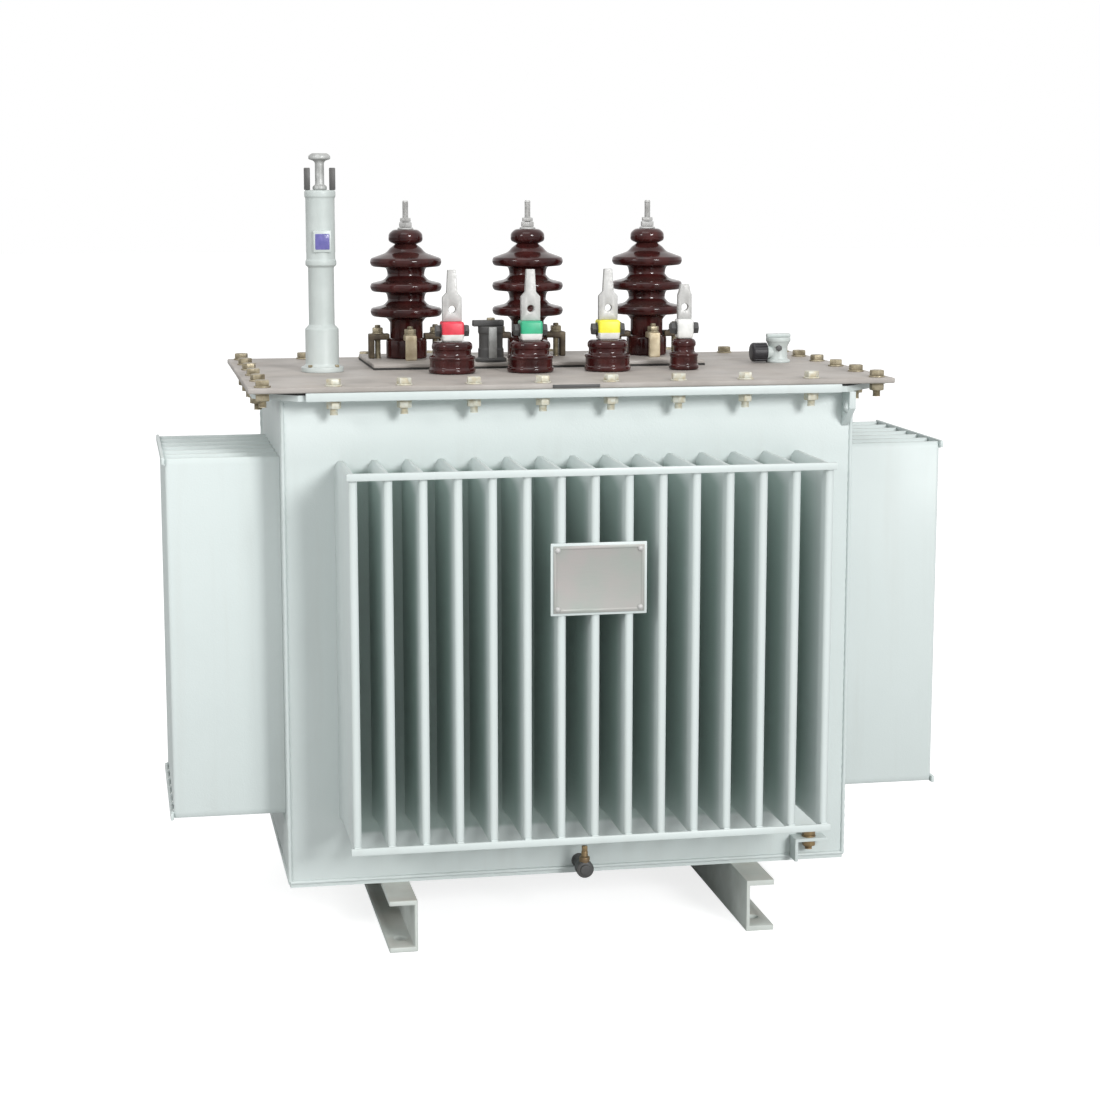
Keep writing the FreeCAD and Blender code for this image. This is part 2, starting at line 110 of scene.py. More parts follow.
studio = bpy.data.worlds.new("studio")
studio.use_nodes = True
air = studio.node_tree.nodes["Background"]
air.inputs["Color"].default_value = (1.0, 1.0, 1.0, 1)
bounced = node(studio.node_tree, "ShaderNodeLightPath", {}).outputs["Is Diffuse Ray"]
air_level = ramp(studio.node_tree, bounced, 0.0, 1.0, 1.0, 0.52)
studio.node_tree.links.new(air_level, air.inputs["Strength"])
bpy.context.scene.world = studio
bpy.context.scene.view_settings.view_transform = "Standard"

aim = Vector((0.0, 0.0, 0.6))
for name, towards, distance, size, power in (
        ("key", Vector((0.38, -1.0, 0.36)), 11.0, 2.6, 760.0),
        ("top", Vector((-0.2, -0.35, 1.0)), 5.0, 3.0, 60.0),
        ("strip", Vector((-1.0, -0.7, 0.5)), 4.0, 0.8, 30.0)):
    lamp = bpy.data.lights.new(name, "AREA")
    lamp.size = size
    lamp.energy = power
    stand = bpy.data.objects.new(name, lamp)
    stand.location = aim + towards.normalized() * distance
    stand.rotation_euler = (aim - stand.location).to_track_quat("-Z", "Y").to_euler()
    bpy.context.collection.objects.link(stand)

eye = bpy.data.cameras.new("eye")
eye.lens = 76.43
eye.sensor_width = 36.0
camera = bpy.data.objects.new("eye", eye)
camera.location = (-0.6867, -3.6474, 1.1518)
camera.rotation_euler = (math.radians(80.785), 0.0, math.radians(-10.778))
bpy.context.collection.objects.link(camera)
bpy.context.scene.camera = camera

# ---- base channels -------------------------------------------------
# Two lengths of rolled steel channel under the tank, webs inwards, with rounded toes and roots
# from the mill.  They are welded to the bottom plate and drilled for foundation bolts, and are
# sprayed in a slightly darker grey that gets scuffed and dusty near the ground.
def unselected():
    """Leave nothing selected, out of edit mode."""
    if bpy.context.mode != "OBJECT":
        bpy.ops.object.mode_set(mode="OBJECT")
    bpy.ops.object.select_all(action="DESELECT")


def chosen(piece):
    """Leave one piece selected and active, out of edit mode."""
    unselected()
    piece.select_set(True)
    bpy.context.view_layer.objects.active = piece


def edit(piece, kind):
    """Open a piece in edit mode with all of it selected; kind is VERT, EDGE or FACE."""
    chosen(piece)
    bpy.ops.object.mode_set(mode="EDIT")
    bpy.ops.mesh.select_mode(type=kind)
    bpy.ops.mesh.select_all(action="SELECT")


def smooth(piece, degrees=40):
    """Shade curved stretches smooth and keep real edges sharp."""
    chosen(piece)
    bpy.ops.object.shade_smooth_by_angle(angle=math.radians(degrees))


def softened(piece, width, segments=2):
    """Round a piece's sharp edges with an applied bevel."""
    chosen(piece)
    arris = piece.modifiers.new("arris", "BEVEL")
    arris.width = width
    arris.segments = segments
    arris.limit_method = "ANGLE"
    arris.angle_limit = math.radians(35)
    bpy.ops.object.modifier_apply(modifier="arris")
    smooth(piece)
    return piece


def refined(source, name, width, material, slot, segments=2):
    """Put in a CAD node's place a copy of it with merged faces, rounded edges and a finish."""
    unselected()
    piece = nodes[source].copy()
    piece.data = nodes[source].data.copy()
    piece.name = name
    piece.parent = None
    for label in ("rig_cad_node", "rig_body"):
        del piece[label]
    bpy.context.collection.objects.link(piece)
    edit(piece, "VERT")
    bpy.ops.mesh.customdata_custom_splitnormals_clear()
    bpy.ops.mesh.remove_doubles(threshold=1e-6)
    bpy.ops.mesh.dissolve_limited(angle_limit=math.radians(1))
    fitted(coated(softened(piece, width, segments), material), slot, source)


def coated(piece, material):
    """Give a whole piece one material."""
    piece.data.materials.clear()
    piece.data.materials.append(material)
    return piece


def fitted(piece, slot, *replaced):
    """Fix a piece to the transformer, in place of CAD nodes.  The slot is not used."""
    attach(piece, "root")
    if replaced:
        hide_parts(*replaced)


def group(name, inputs, outputs):
    """New shader node group: its tree, its input node and its output node."""
    tree = bpy.data.node_groups.new(name, "ShaderNodeTree")
    for label, value in inputs.items():
        kind = "NodeSocketVector" if isinstance(value, tuple) else "NodeSocketFloat"
        socket = tree.interface.new_socket(label, in_out="INPUT", socket_type=kind)
        socket.default_value = value
    for label in outputs:
        tree.interface.new_socket(label, in_out="OUTPUT", socket_type="NodeSocketFloat")
    return tree, tree.nodes.new("NodeGroupInput"), tree.nodes.new("NodeGroupOutput")


def noise(tree, place, scale, detail, low, high):
    """Noise stretched so that low comes out as 0 and high as 1."""
    grain = node(tree, "ShaderNodeTexNoise", {"Vector": place, "Scale": scale, "Detail": detail})
    return ramp(tree, grain.outputs["Fac"], low, high)


def times(tree, first, second):
    """Product of two values."""
    return maths(tree, "MULTIPLY", first, second)


def blended(tree, share, first, second):
    """Mix of two colours."""
    return node(tree, "ShaderNodeMix", {"Factor": share, "A": first, "B": second},
                data_type="RGBA").outputs["Result"]


# What sprayed enamel does: faint clouds, runs down upright faces, and a fine orange peel.
enamel_skin, skin_in, skin_out = group(
    "enamel_skin", {"Place": (0, 0, 0), "Cloud Scale": 7.0, "Peel Scale": 420.0},
    ("Cloud", "Runs", "Peel"))
clouds = noise(enamel_skin, skin_in.outputs["Place"], skin_in.outputs["Cloud Scale"], 5.0, 0.35, 0.68)
stretched = node(enamel_skin, "ShaderNodeVectorMath",
                 {0: skin_in.outputs["Place"], 1: (1.0, 1.0, 0.06)}, operation="MULTIPLY")
runs = noise(enamel_skin, stretched.outputs["Vector"], 38.0, 3.0, 0.52, 0.80)
peel = noise(enamel_skin, skin_in.outputs["Place"], skin_in.outputs["Peel Scale"], 1.0, 0.2, 0.8)
for label, value in (("Cloud", clouds), ("Runs", runs), ("Peel", peel)):
    enamel_skin.links.new(value, skin_out.inputs[label])

# Dust that settles on faces that look up, thin in places.
settled_dust, dust_in, dust_out = group(
    "settled_dust", {"Place": (0, 0, 0), "Amount": 0.5, "Scale": 14.0}, ("Dust",))
facing = node(settled_dust, "ShaderNodeNewGeometry", {})
upward = node(settled_dust, "ShaderNodeSeparateXYZ", {0: facing.outputs["Normal"]})
shelf = ramp(settled_dust, upward.outputs["Z"], 0.55, 0.95)
film = noise(settled_dust, dust_in.outputs["Place"], dust_in.outputs["Scale"], 6.0, 0.30, 0.72)
settled = times(settled_dust, times(settled_dust, shelf, film), dust_in.outputs["Amount"])
settled_dust.links.new(settled, dust_out.inputs["Dust"])


def new_finish(name):
    """New material, with its tree, its shader and the place on the object."""
    material = bpy.data.materials.new(name)
    material.use_nodes = True
    tree = material.node_tree
    place = node(tree, "ShaderNodeTexCoord", {}).outputs["Object"]
    return material, tree, tree.nodes["Principled BSDF"], place


def shared(tree, effect, place, **values):
    """Put a shared effect in a material, with its own values."""
    sockets = {label.replace("_", " "): value for label, value in values.items()}
    return node(tree, "ShaderNodeGroup", {"Place": place, **sockets}, node_tree=effect)


def bumped(tree, surface, height, strength, distance):
    """Fine relief on a surface."""
    bump = node(tree, "ShaderNodeBump", {"Height": height, "Strength": strength,
                                         "Distance": distance})
    tree.links.new(bump.outputs["Normal"], surface.inputs["Normal"])


def enamel(name, pale, deep, dust, roughness, cloud=0.5, dusty=0.5, cloud_scale=7.0, gap=None):
    """Sprayed enamel: pale and deep tones in clouds, dust on top, orange peel in the gloss."""
    material, tree, surface, place = new_finish(name)
    skin = shared(tree, enamel_skin, place, Cloud_Scale=cloud_scale)
    film = shared(tree, settled_dust, place, Amount=dusty)
    colour = blended(tree, times(tree, skin.outputs["Cloud"], cloud), (*pale, 1), (*deep, 1))
    colour = blended(tree, times(tree, skin.outputs["Runs"], 0.18), colour, (*dust, 1))
    if gap is not None:
        colour = gap(tree, place, colour)
    colour = blended(tree, film.outputs["Dust"], colour, (*dust, 1))
    tree.links.new(colour, surface.inputs["Base Color"])
    dulled = ramp(tree, skin.outputs["Cloud"], 0.0, 1.0, roughness, roughness + 0.14)
    matt = maths(tree, "MAXIMUM", dulled, film.outputs["Dust"])
    tree.links.new(matt, surface.inputs["Roughness"])
    bumped(tree, surface, skin.outputs["Peel"], 0.22, 0.0004)
    return material


base_enamel = enamel("base_enamel", (0.57, 0.61, 0.58), (0.43, 0.46, 0.43), (0.46, 0.42, 0.37),
                     0.48, cloud=0.8, dusty=0.7, cloud_scale=16.0)
for side in ("left", "right"):
    refined("base_channel_" + side, "rolled_channel_" + side, 0.0020, base_enamel, "base_paint", 3)

# ---- tank walls and bottom -----------------------------------------
# Plain steel sheets welded at their corners, on a thicker bottom plate, and sprayed with pale
# grey-green enamel.  Shade is painted into the colour deep between the fins and just below them, and
# painted light makes the wall paler above them.
TANK_LOW, TANK_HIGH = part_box("tank_floor")
WALL_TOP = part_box("front_wall")[1].z
FINS_LOW, FINS_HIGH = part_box("front_fins")
FIN_DEPTH = TANK_LOW.y - FINS_LOW.y
ROW_SHY = 0.006              # the end fins' outer faces get none of the painted shade

# Mask for painted shade: 1 deep between the fins and on the wall just below them, fading to 0 at the
# noses, near the fins' tops and at the rows' ends.
painted_gap_shade, gap_in, gap_out = group(
    "painted_gap_shade", {"Place": (0, 0, 0), "Half Length": TANK_HIGH.x, "Half Width": TANK_HIGH.y,
                 "Row Length": FINS_HIGH.x - ROW_SHY,
                 "Row Width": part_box("left_fins")[1].y - ROW_SHY, "Depth": FIN_DEPTH,
                 "Low": FINS_LOW.z, "High": FINS_HIGH.z}, ("Gap",))
folded = node(painted_gap_shade, "ShaderNodeVectorMath", {0: gap_in.outputs["Place"]}, operation="ABSOLUTE")
folded = node(painted_gap_shade, "ShaderNodeSeparateXYZ", {0: folded.outputs["Vector"]})


def depth_share(across, half, along_row, row_half):
    """1 at a row's wall and 0 at its noses, and nothing beyond the row's ends."""
    out = maths(painted_gap_shade, "SUBTRACT", folded.outputs[across], gap_in.outputs[half])
    share = ramp(painted_gap_shade, out, gap_in.outputs["Depth"], 0.0)
    inward = maths(painted_gap_shade, "SUBTRACT", gap_in.outputs[row_half], folded.outputs[along_row])
    near = maths(painted_gap_shade, "GREATER_THAN", out, -0.002)
    return times(painted_gap_shade, times(painted_gap_shade, share, ramp(painted_gap_shade, inward, 0.0, 0.012)), near)


long_row = depth_share("Y", "Half Width", "X", "Row Length")
end_row = depth_share("X", "Half Length", "Y", "Row Width")
over = maths(painted_gap_shade, "SUBTRACT", folded.outputs["Z"], gap_in.outputs["Low"])
under = maths(painted_gap_shade, "SUBTRACT", gap_in.outputs["High"], folded.outputs["Z"])
inside = times(painted_gap_shade, ramp(painted_gap_shade, over, -0.022, -0.002), ramp(painted_gap_shade, under, 0.010, 0.038))
painted_gap_shade.links.new(times(painted_gap_shade, maths(painted_gap_shade, "MAXIMUM", long_row, end_row), inside),
                   gap_out.inputs["Gap"])


def painted_fin_shade_and_light(tree, place, colour):
    """Painted shade: darker colour deep between and just below the fins; painted light above them."""
    height = node(tree, "ShaderNodeSeparateXYZ", {0: place}).outputs["Z"]
    # Painted light: the wall above the fins is made paler.
    painted_top_light = ramp(tree, height, FINS_HIGH.z, FINS_HIGH.z + 0.05)
    colour = blended(tree, painted_top_light, colour, (0.675, 0.735, 0.725, 1))
    # Painted shade: darker colour deep between the fins and just below them.
    gap = shared(tree, painted_gap_shade, place).outputs["Gap"]
    eased = ramp(tree, gap, 0.05, 0.42, 0.0, 0.86, interpolation_type="SMOOTHSTEP")
    return blended(tree, eased, colour, (0.33, 0.42, 0.39, 1))


grey_green = ((0.585, 0.645, 0.635), (0.545, 0.605, 0.595), (0.46, 0.47, 0.44), 0.36)
tank_enamel = enamel("tank_enamel", *grey_green, dusty=0.25)
# Walls and fins: the enamel with painted shade between the fins and painted light above them.
fin_enamel_painted_shade_and_light = enamel("fin_enamel_painted_shade_and_light", *grey_green, dusty=0.35, gap=painted_fin_shade_and_light)
for side in ("front", "back", "left", "right"):
    coated(nodes[side + "_wall"], fin_enamel_painted_shade_and_light)
coated(nodes["tank_floor"], tank_enamel)


def primitive(name, add, **size):
    """Add one primitive on its own, with its place in its mesh."""
    unselected()
    add(**size)
    piece = bpy.context.active_object
    piece.name = name
    bpy.ops.object.transform_apply(location=True, rotation=True, scale=True)
    return piece


def pick(kind, test):
    """Select only the verts, edges or faces that pass a test, in edit mode."""
    bpy.ops.mesh.select_all(action="DESELECT")
    shell = bmesh.from_edit_mesh(bpy.context.edit_object.data)
    for item in getattr(shell, kind):
        item.select_set(bool(test(item)))
    bmesh.update_edit_mesh(bpy.context.edit_object.data)


def along(edge, axis):
    """True when an edge runs along an axis, 0 for X, 1 for Y or 2 for Z."""
    run = edge.verts[1].co - edge.verts[0].co
    return run.length > 0 and abs(run[axis]) > 0.99 * run.length


def joined(name, pieces):
    """Join several meshes into one piece."""
    unselected()
    for piece in pieces:
        piece.select_set(True)
    bpy.context.view_layer.objects.active = pieces[0]
    bpy.ops.object.join()
    pieces[0].name = name
    return pieces[0]


def weld_bead(name, start, end, radius, pitch=0.007):
    """Run of weld: a thin bar cut into rings, every other ring drawn in."""
    start, end = Vector(start), Vector(end)
    run = end - start
    axis = max(range(3), key=lambda i: abs(run[i]))
    turn = run.to_track_quat("Z", "Y").to_euler()
    bead = primitive(name, bpy.ops.mesh.primitive_cylinder_add, vertices=8, radius=radius,
                     depth=run.length, location=(start + end) / 2, rotation=turn)
    rings = int(run.length / pitch)
    edit(bead, "EDGE")
    pick("edges", lambda edge: along(edge, axis))
    bpy.ops.mesh.subdivide(number_cuts=rings)
    step = run.length / (rings + 1)
    base = min(start[axis], end[axis])
    pick("verts", lambda vert: round((vert.co[axis] - base) / step) % 2 == 1)
    keep = [0.78, 0.78, 0.78]
    keep[axis] = 1.0
    bpy.ops.transform.resize(value=keep, center_override=(start + end) / 2)
    smooth(bead, 60)
    return bead


WELD_R = 0.0035
corner_x, corner_y = TANK_HIGH.x, TANK_HIGH.y
seams = (TANK_HIGH.z, WALL_TOP - 0.001)
beads = []
for x in (-corner_x, corner_x):
    for y in (-corner_y, corner_y):
        beads.append(weld_bead("corner_weld", (x, y, TANK_LOW.z + 0.01), (x, y, WALL_TOP - 0.002),
                               WELD_R))
    for z in seams:
        beads.append(weld_bead("end_weld", (x, -corner_y, z), (x, corner_y, z), WELD_R))
for y in (-corner_y, corner_y):
    for z in seams:
        beads.append(weld_bead("long_weld", (-corner_x, y, z), (corner_x, y, z), WELD_R))
fitted(coated(joined("tank_welds", beads), tank_enamel), "tank_paint")

# ---- cooling fins --------------------------------------------------
# Hollow folds of thin sheet that let the oil rise and cool.  Each nose is a rolled fold, the
# root flares into the wall, and the ends are pressed flat and seam welded.
FIN_PITCH = 0.050
FIN_THICK = 0.013
FIN_NOSE = 0.0055
FIN_PINCH = 0.010            # height of a pressed end
FIN_FLARE = 0.008            # length of the flare at the root


def box(name, low, high):
    """Cube primitive stretched between two corners."""
    low, high = Vector(low), Vector(high)
    return primitive(name, bpy.ops.mesh.primitive_cube_add, size=1.0, location=(low + high) / 2,
                     scale=high - low)


def middle(edge):
    """Middle of an edge."""
    return (edge.verts[0].co + edge.verts[1].co) / 2


def cut(point, normal):
    """Bisect a whole piece by a plane, without taking anything away."""
    bpy.ops.mesh.select_all(action="SELECT")
    bpy.ops.mesh.bisect(plane_co=point, plane_no=normal)


def copied(piece, name, move):
    """Copy of a piece with its own mesh, moved by a matrix."""
    twin = piece.copy()
    twin.data = piece.data.copy()
    twin.name = name
    twin.data.transform(move)
    bpy.context.collection.objects.link(twin)
    return twin


fin_low, fin_high = FINS_LOW.z, FINS_HIGH.z
fin = box("fin", (-FIN_THICK / 2, -FIN_DEPTH, fin_low), (FIN_THICK / 2, 0, fin_high))
edit(fin, "EDGE")
pick("edges", lambda edge: along(edge, 2) and middle(edge).y < -FIN_DEPTH / 2)
bpy.ops.mesh.bevel(offset=FIN_NOSE, segments=5, affect="EDGES")
cut((0, -FIN_FLARE, 0), (0, 1, 0))
pick("verts", lambda vert: vert.co.y > -1e-4)
bpy.ops.transform.resize(value=(1.55, 1, 1), center_override=(0, 0, 0))
cut((0, 0, fin_low + FIN_PINCH), (0, 0, 1))
cut((0, 0, fin_high - FIN_PINCH), (0, 0, 1))
pick("verts", lambda vert: abs(vert.co.z - fin_low) < 1e-4 or abs(vert.co.z - fin_high) < 1e-4)
bpy.ops.transform.resize(value=(0.42, 1, 1), center_override=(0, 0, 0))
bpy.ops.object.mode_set(mode="OBJECT")
softened(fin, 0.0012)
fin_places = []
for turn, side, count, distance in ((0, "front", 15, corner_y), (90, "right", 7, corner_x),
                                    (180, "back", 15, corner_y), (270, "left", 7, corner_x)):
    swing = Matrix.Rotation(math.radians(turn), 4, "Z")
    places = [swing @ Matrix.Translation(((i - (count - 1) / 2) * FIN_PITCH, -distance, 0))
              for i in range(count)]
    row = [copied(fin, "fin_copy", place) for place in places]
    fitted(coated(joined(f"{side}_fin_row", row), fin_enamel_painted_shade_and_light), "tank_paint", side + "_fins")
    fin_places += places
bpy.data.objects.remove(fin)

# ---- fin bars ------------------------------------------------------
# Flat bars that tie the noses of each row together at the top and the bottom.  They are cut from
# strip, and a short fillet weld holds each nose.
refined("fin_bars", "fin_tie_bars", 0.0015, tank_enamel, "tank_paint")
BAR_HIGH = 0.011
BAR_PROUD = 0.002
TACK_HALF = 0.0045
TACK_R = 0.0018
TACK_OUT = 0.0008            # tack's middle past the nose
tack = weld_bead("tack", (-TACK_HALF, 0, 0), (TACK_HALF, 0, 0), TACK_R, 0.0015)
tacks = []
for place in fin_places:
    for z in (fin_high + BAR_PROUD - BAR_HIGH, fin_low - BAR_PROUD + BAR_HIGH):
        drop = Matrix.Translation((0, -FIN_DEPTH - TACK_OUT, z))
        tacks.append(copied(tack, "tack_weld", place @ drop))
bpy.data.objects.remove(tack)
fitted(coated(joined("fin_bar_welds", tacks), tank_enamel), "tank_paint")

# ---- flange, gasket, rim bars and lugs -----------------------------
# The tank's rim is a frame of flat steel with a rubber gasket on it.  A flat bar covers the
# flange's edge on each long side, and two drilled lifting lugs are welded beneath it.  The same
# rubber seals the high-voltage plate.
coated(nodes["tank_flange"], tank_enamel)
rubber = enamel("rubber", (0.022, 0.022, 0.021), (0.035, 0.034, 0.032), (0.12, 0.11, 0.10), 0.72)
coated(nodes["lid_gasket"], rubber)
coated(nodes["hv_gasket"], rubber)
refined("rim_bars", "rim_flats", 0.0015, tank_enamel, "tank_paint")
refined("lifting_lugs", "lifting_ears", 0.0015, tank_enamel, "tank_paint")

# ---- lid -----------------------------------------------------------
# One thick steel plate with slightly rounded edges, sprayed in a warmer grey.  It collects dust
# in streaks, and a thinner raised plate stands under the high-voltage row.
lid_enamel = enamel("lid_enamel", (0.40, 0.375, 0.35), (0.30, 0.275, 0.25), (0.47, 0.43, 0.39),
                    0.50, cloud=0.9, dusty=0.8, cloud_scale=11.0)
lid = softened(box("lid_plate", *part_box("lid")), 0.002, 3)
fitted(coated(lid, lid_enamel), "lid_paint", "lid")
riser = softened(box("hv_riser_plate", *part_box("hv_plate")), 0.0015)
fitted(coated(riser, lid_enamel), "lid_paint", "hv_plate")

# ---- lid tag -------------------------------------------------------
# A short dark strip, left blank, stuck on the front edge of the lid near its
# middle.
TAG_LEFT, TAG_RIGHT = -0.041, 0.030
TAG_PROUD = 0.0015
TAG_MARGIN = 0.0015          # bare edge of the lid above and below the tag
plate_low, plate_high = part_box("lid")
tag = softened(box("lid_tag", (TAG_LEFT, plate_low.y - TAG_PROUD, plate_low.z + TAG_MARGIN),
                   (TAG_RIGHT, plate_low.y + 0.0005, plate_high.z - TAG_MARGIN)), 0.0005)
dark_paint = enamel("dark_paint", (0.055, 0.055, 0.055), (0.085, 0.083, 0.080),
                    (0.24, 0.23, 0.21), 0.42, dusty=0.35, cloud_scale=40.0)
fitted(coated(tag, dark_paint), "dark_fitting")

# ---- lid bolts -----------------------------------------------------
# Hexagon bolts all round the rim, with a washer under each head and each nut.  They are steel
# with yellow passivated zinc, uneven from straw to dull green, and the front row caught spray.
LONG_BOLTS, END_BOLTS = 10, 6    # corners counted in both
EDGE_IN = 0.022              # bolt line in from the lid's edge
BOLT_ACROSS = 0.019
BOLT_HEAD = 0.0085
BOLT_NUT = 0.010
BOLT_END = 0.009             # thread past the nut
BOLT_R = 0.006
WASHER_R = 0.0125
WASHER_THICK = 0.0022


def rounded(outline, radius, steps=4):
    """Outline whose corners are rounded by short curves."""
    points = [Vector(point) for point in outline]
    made = [points[0]]
    for before, corner, after in zip(points, points[1:], points[2:]):
        back, on = before - corner, after - corner
        reach = min(radius, back.length * 0.49, on.length * 0.49)
        start, end = corner + back.normalized() * reach, corner + on.normalized() * reach
        for i in range(steps + 1):
            t = i / steps
            made.append(start * (1 - t) ** 2 + corner * 2 * t * (1 - t) + end * t ** 2)
    return made + [points[-1]]


def lathe(name, outline, centre, steps=48):
    """Spin an outline of radius and height about an upright axis into a closed piece."""
    centre = Vector(centre)
    piece = primitive(name, bpy.ops.mesh.primitive_plane_add, size=0.001)
    edit(piece, "VERT")
    bpy.ops.mesh.merge(type="CENTER")
    bpy.ops.mesh.select_all(action="SELECT")
    places = [centre + Vector((radius, 0, height)) for radius, height in outline]
    bpy.ops.transform.translate(value=places[0])
    for here, there in zip(places, places[1:]):
        bpy.ops.mesh.extrude_vertices_move(TRANSFORM_OT_translate={"value": there - here})
    bpy.ops.mesh.select_all(action="SELECT")
    bpy.ops.mesh.spin(steps=steps, angle=math.tau, center=centre, axis=(0, 0, 1))
    bpy.ops.mesh.select_all(action="SELECT")
    bpy.ops.mesh.remove_doubles(threshold=2e-6)
    bpy.ops.mesh.normals_make_consistent(inside=False)
    smooth(piece, 45)
    return piece


def up(height):
    """Step straight up."""
    return Vector((0, 0, height))


def hexagon(name, centre, across, height):
    """Upright hexagonal head or nut, its corners turned down at both ends."""
    centre = Vector(centre)
    piece = primitive(name, bpy.ops.mesh.primitive_cylinder_add, vertices=6, depth=height,
                      radius=across / math.sqrt(3), location=centre + up(height / 2))
    edit(piece, "EDGE")
    pick("edges", lambda edge: not along(edge, 2))
    bpy.ops.mesh.bevel(offset=min(0.0012, height * 0.15), segments=2, affect="EDGES")
    smooth(piece, 30)
    return piece


def washer(name, centre, radius, thick):
    """Flat washer with turned edges."""
    return lathe(name, rounded([(0, 0), (radius, 0), (radius, thick), (0, thick)], 0.0005, 1),
                 centre, 24)


def threaded(name, centre, radius, length, pitch=0.0018):
    """Stud end with thread ridges and a chamfered tip."""
    ridges = int(length / pitch) - 1
    outline = [(0, 0), (radius, 0)]
    for i in range(ridges):
        outline += [(radius, (i + 0.4) * pitch), (radius - 0.0008, (i + 0.9) * pitch)]
    outline += [(radius, ridges * pitch), (radius - 0.0012, length), (0, length)]
    return lathe(name, outline, centre, 20)


# What plating and drawing leave on metal: fine drawn grain and wide stains.
metal_grain, grain_in, grain_out = group(
    "metal_grain", {"Place": (0, 0, 0), "Stretch": (1.0, 1.0, 1.0), "Grain Scale": 600.0,
                    "Stain Scale": 60.0}, ("Grain", "Stain"))
drawn = node(metal_grain, "ShaderNodeVectorMath",
             {0: grain_in.outputs["Place"], 1: grain_in.outputs["Stretch"]}, operation="MULTIPLY")
fine = noise(metal_grain, drawn.outputs["Vector"], grain_in.outputs["Grain Scale"], 2.0, 0.3, 0.7)
stain = noise(metal_grain, grain_in.outputs["Place"], grain_in.outputs["Stain Scale"], 4.0, 0.35, 0.65)
metal_grain.links.new(fine, grain_out.inputs["Grain"])
metal_grain.links.new(stain, grain_out.inputs["Stain"])


def plated(name, bright, stained, roughness, metallic, stretch=(1.0, 1.0, 1.0), grain=600.0,
           stains=60.0, dusty=0.2):
    """Plated or bare metal: two tones in stains, drawn grain in the gloss, a little dust."""
    material, tree, surface, place = new_finish(name)
    marks = shared(tree, metal_grain, place, Stretch=stretch, Grain_Scale=grain, Stain_Scale=stains)
    film = shared(tree, settled_dust, place, Amount=dusty)
    colour = blended(tree, marks.outputs["Stain"], (*bright, 1), (*stained, 1))
    colour = blended(tree, film.outputs["Dust"], colour, (0.40, 0.37, 0.33, 1))
    tree.links.new(colour, surface.inputs["Base Color"])
    surface.inputs["Metallic"].default_value = metallic
    gloss = ramp(tree, marks.outputs["Grain"], 0.0, 1.0, roughness - 0.06, roughness + 0.16)
    tree.links.new(gloss, surface.inputs["Roughness"])
    bumped(tree, surface, marks.outputs["Grain"], 0.15, 0.0002)
    return material


yellow_zinc = plated("yellow_zinc", (0.42, 0.37, 0.26), (0.22, 0.185, 0.12), 0.40, 0.5,
                     stains=90.0, dusty=0.35)
sprayed_zinc = plated("sprayed_zinc", (0.62, 0.63, 0.56), (0.52, 0.47, 0.34), 0.44, 0.15,
                      stains=110.0)


def rim_bolt(name, under):
    """Lid bolt whose nut sits below a level."""
    nut_low = under - WASHER_THICK - BOLT_NUT
    return joined(name, [
        washer("upper_washer", (0, 0, plate_high.z), WASHER_R, WASHER_THICK),
        hexagon("head", (0, 0, plate_high.z + WASHER_THICK), BOLT_ACROSS, BOLT_HEAD),
        washer("lower_washer", (0, 0, under - WASHER_THICK), WASHER_R, WASHER_THICK),
        hexagon("nut", (0, 0, nut_low), BOLT_ACROSS, BOLT_NUT),
        threaded("end", (0, 0, nut_low - BOLT_END), BOLT_R, 0.024)])


through_flange = rim_bolt("through_flange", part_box("tank_flange")[0].z)
through_lid = rim_bolt("through_lid", plate_low.z)
line_x, line_y = plate_high.x - EDGE_IN, plate_high.y - EDGE_IN
holes = [(line_x * (2 * i / (LONG_BOLTS - 1) - 1), side * line_y)
         for side in (-1, 1) for i in range(LONG_BOLTS)]
holes += [(side * line_x, line_y * (2 * i / (END_BOLTS - 1) - 1))
          for side in (-1, 1) for i in range(1, END_BOLTS - 1)]
rim_bolts = []
for i, (x, y) in enumerate(holes):
    corner = abs(x) > line_x - 1e-4 and abs(y) > line_y - 1e-4
    in_front = y < 0 and abs(x) < line_x - 1e-4
    placed = Matrix.Translation((x, y, 0)) @ Matrix.Rotation(0.7 * i, 4, "Z")
    twin = copied(through_lid if corner else through_flange, f"rim_bolt_{i}", placed)
    rim_bolts.append(coated(twin, sprayed_zinc if in_front else yellow_zinc))
for pattern in (through_flange, through_lid):
    bpy.data.objects.remove(pattern)
fitted(joined("lid_bolts", rim_bolts), "yellow_zinc")

# ---- high-voltage bushings -----------------------------------------
# Hollow porcelain turned in one piece, with three wide rain sheds and a small cap shed, dipped in
# a dark brown glaze that pools thicker in the grooves.  The foot seats in a gasket on the riser.
HV_FOOT_R = 0.033
HV_FOOT = 0.030
HV_WAIST_R = 0.0265
HV_CORE_R = 0.030
HV_SHED_R = 0.058
HV_FIRST = 0.072
HV_STEP = 0.040
HV_NECK_R = 0.0165
HV_CAP_R = 0.0275


